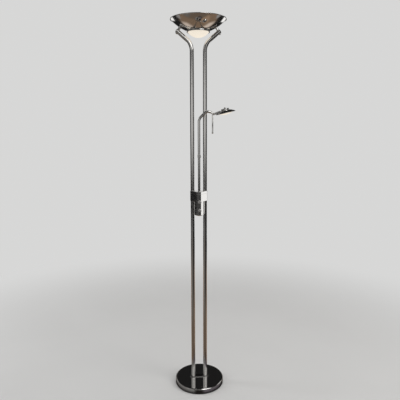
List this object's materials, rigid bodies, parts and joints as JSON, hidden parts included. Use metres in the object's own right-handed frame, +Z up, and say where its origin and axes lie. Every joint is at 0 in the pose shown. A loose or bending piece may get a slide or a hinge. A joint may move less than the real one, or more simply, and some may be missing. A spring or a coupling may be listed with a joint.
{
  "type": "floor lamp with uplight and reading light",
  "caption": "Chrome floor lamp: a wide uplight bowl on paired poles over a round weighted base, with a swivelling curved arm that carries a small tilting reading light.",
  "frame": {"origin": "centre of the base on the floor", "axes": "+Z up along the poles, -Y towards the front with the dimmer knobs, +X towards the reading light at rest"},
  "size_m": [0.3027, 0.26, 1.8],
  "materials": {
    "chrome": "polished plating",
    "zinc_steel": "bright zinc plating",
    "cast_weight": "rough cast",
    "cast_clamp": "die cast",
    "foot_rubber": "matt",
    "black_plastic": "moulded",
    "board": "laminate",
    "frosted_glass": "frosted, lit from inside",
    "clear_glass": "clear quartz",
    "ceramic": "unglazed ceramic"
  },
  "bodies": {
    "stand": {"arm_end_caps": "chrome", "base_cover": "chrome", "base_nipples": "zinc_steel", "base_nuts": "zinc_steel", "base_pad": "foot_rubber", "base_washers": "zinc_steel", "base_weight": "cast_weight", "bowl": "chrome", "bowl_bolts": "chrome", "bowl_spacers": "chrome", "cap_nuts": "chrome", "clamp_screws": "zinc_steel", "control_housing": "chrome", "cord_bush": "black_plastic", "dimmer_board": "board", "dimmer_bodies": "black_plastic", "dish_ring": "chrome", "foot_plate": "chrome", "glass_dish": "frosted_glass", "housing_end_cap": "chrome", "housing_top_cap": "chrome", "joint_nipples": "zinc_steel", "lamp_bracket": "zinc_steel", "lower_pole_left": "chrome", "lower_pole_right": "chrome", "middle_pole_left": "chrome", "middle_pole_right": "chrome", "pole_clamp": "cast_clamp", "pole_end_bushes": "zinc_steel", "stem_tube": "chrome", "swivel_spigot": "chrome", "uplight_holders": "ceramic", "uplight_lamp": "clear_glass", "upper_arm_left": "chrome", "upper_arm_right": "chrome"},
    "reading_arm": {"arm_ferrule": "chrome", "arm_stop_screw": "zinc_steel", "arm_bush": "black_plastic", "reading_arm_tube": "chrome", "arm_fork": "chrome", "handle_rod": "chrome", "handle_ball": "chrome", "tilt_screw": "chrome", "tilt_nut": "zinc_steel"},
    "reading_head": {"head_bracket": "chrome", "bracket_screws": "zinc_steel", "reading_shade": "chrome", "shade_cap": "chrome", "shade_finial": "chrome", "reading_lampholder": "ceramic", "reading_lamp": "clear_glass", "glass_ring": "zinc_steel", "reading_glass": "frosted_glass"},
    "upper_knob": {"upper_dimmer_shaft": "zinc_steel", "upper_dimmer_knob": "chrome"},
    "lower_knob": {"lower_dimmer_shaft": "zinc_steel", "lower_dimmer_knob": "chrome"}
  },
  "joints": [
    {"name": "arm_swivel", "type": "hinge", "parent": "stand", "child": "reading_arm", "pos_m": [0, -0.02, 1.178], "axis": [0, 0, 1], "range_deg": [-180, 5]},
    {"name": "head_tilt", "type": "hinge", "parent": "reading_arm", "child": "reading_head", "pos_m": [0.071, -0.02, 1.37252], "axis": [0, 1, 0], "range_deg": [-45, 45]},
    {"name": "upper_knob_turn", "type": "hinge", "parent": "stand", "child": "upper_knob", "pos_m": [0, -0.05, 0.958], "axis": [0, 1, 0], "range_deg": [0, 280]},
    {"name": "lower_knob_turn", "type": "hinge", "parent": "stand", "child": "lower_knob", "pos_m": [0, -0.05, 0.917], "axis": [0, 1, 0], "range_deg": [0, 280]}
  ]
}
